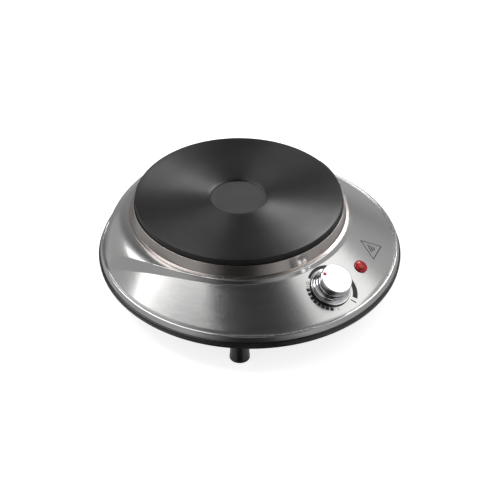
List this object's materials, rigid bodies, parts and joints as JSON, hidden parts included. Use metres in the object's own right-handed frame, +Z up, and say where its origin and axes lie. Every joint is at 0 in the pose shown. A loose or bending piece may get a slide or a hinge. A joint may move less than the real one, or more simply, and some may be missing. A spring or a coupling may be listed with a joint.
{
  "type": "electric hot plate burner",
  "caption": "Single electric hot plate: black cast plate on a round brushed steel body with a chrome knob, a red lamp and rubber-tipped feet.",
  "frame": {"origin": "on the floor, under the centre of the round body (feet stand on Z = 0)", "axes": "+Z up, -Y towards the control panel and knob, +X to the right seen from the front"},
  "size_m": [0.2708, 0.2708, 0.078],
  "materials": {
    "cast_iron": "satin, concentric turning marks, blackened",
    "stainless": "satin brushed",
    "zinc_steel": "bright zinc plated",
    "aluminium_sheet": "mill finish",
    "black_plastic": "gloss black, heat resistant",
    "black_rubber": "matt",
    "knob_chrome": "polished",
    "pointer_red": "gloss red",
    "lens_red": "clear red, faceted",
    "lamp_glass": "clear",
    "white_ceramic": "unglazed white",
    "brass_parts": "plain",
    "heating_wire": "oxidised",
    "lead_sleeve": "glass fibre sleeve",
    "earth_sleeve": "green and yellow"
  },
  "bodies": {
    "root": {"hot_plate": "cast_iron", "trim_ring": "stainless", "top_shell": "stainless", "element_cover": "zinc_steel", "clamp_bridge": "zinc_steel", "stud_washer": "zinc_steel", "stud_nut": "zinc_steel", "centre_stud": "zinc_steel", "stud_spacer": "zinc_steel", "shell_lugs": "zinc_steel", "foot_screws": "zinc_steel", "thermostat_bracket": "zinc_steel", "panel_nut": "zinc_steel", "lens_clip": "zinc_steel", "block_screw": "zinc_steel", "mains_pole_screws": "zinc_steel", "stack_rivet": "zinc_steel", "heat_shield": "aluminium_sheet", "base_pan": "black_plastic", "foot_front_left": "black_plastic", "foot_front_right": "black_plastic", "foot_rear_left": "black_plastic", "foot_rear_right": "black_plastic", "foot_pad_front_left": "black_rubber", "foot_pad_front_right": "black_rubber", "foot_pad_rear_left": "black_rubber", "foot_pad_rear_right": "black_rubber", "cord_grommet": "black_rubber", "indicator_lens": "lens_red", "neon_lamp": "lamp_glass", "stack_insulators": "white_ceramic", "plate_terminal_block": "white_ceramic", "mains_terminal_block": "white_ceramic", "insulating_fill": "white_ceramic", "spindle_bush": "brass_parts", "supply_blade": "brass_parts", "load_blade": "brass_parts", "contact_arm": "brass_parts", "bimetal_strip": "brass_parts", "mains_pole_tubes": "brass_parts", "plate_terminal_pins": "brass_parts", "earth_tab": "brass_parts", "heating_coil": "heating_wire", "supply_lead": "lead_sleeve", "switched_lead": "lead_sleeve", "neutral_lead": "lead_sleeve", "lamp_return_lead": "lead_sleeve", "lamp_feed_lead": "lead_sleeve", "thermal_fuse": "lead_sleeve", "earth_lead": "earth_sleeve"},
    "knob": {"knob_body": "knob_chrome", "knob_cap": "knob_chrome", "knob_pointer": "pointer_red", "knob_spring": "zinc_steel", "thermostat_spindle": "brass_parts"},
    "adjuster": {"adjuster_pin": "white_ceramic"}
  },
  "joints": [
    {"name": "knob_turn", "type": "hinge", "parent": "root", "child": "knob", "pos_m": [0, -0.1062, 0.04745], "axis": [0, -0.4547, 0.8906], "range_deg": [-270, 0]},
    {"name": "adjuster_slide", "type": "slide", "parent": "root", "child": "adjuster", "axis": [0, -0.4547, 0.8906], "range_m": [0, 0.00075]}
  ],
  "couplings": [
    {"joint": "adjuster_slide", "follows": "knob_turn", "m_per_rad": -0.00015914}
  ]
}
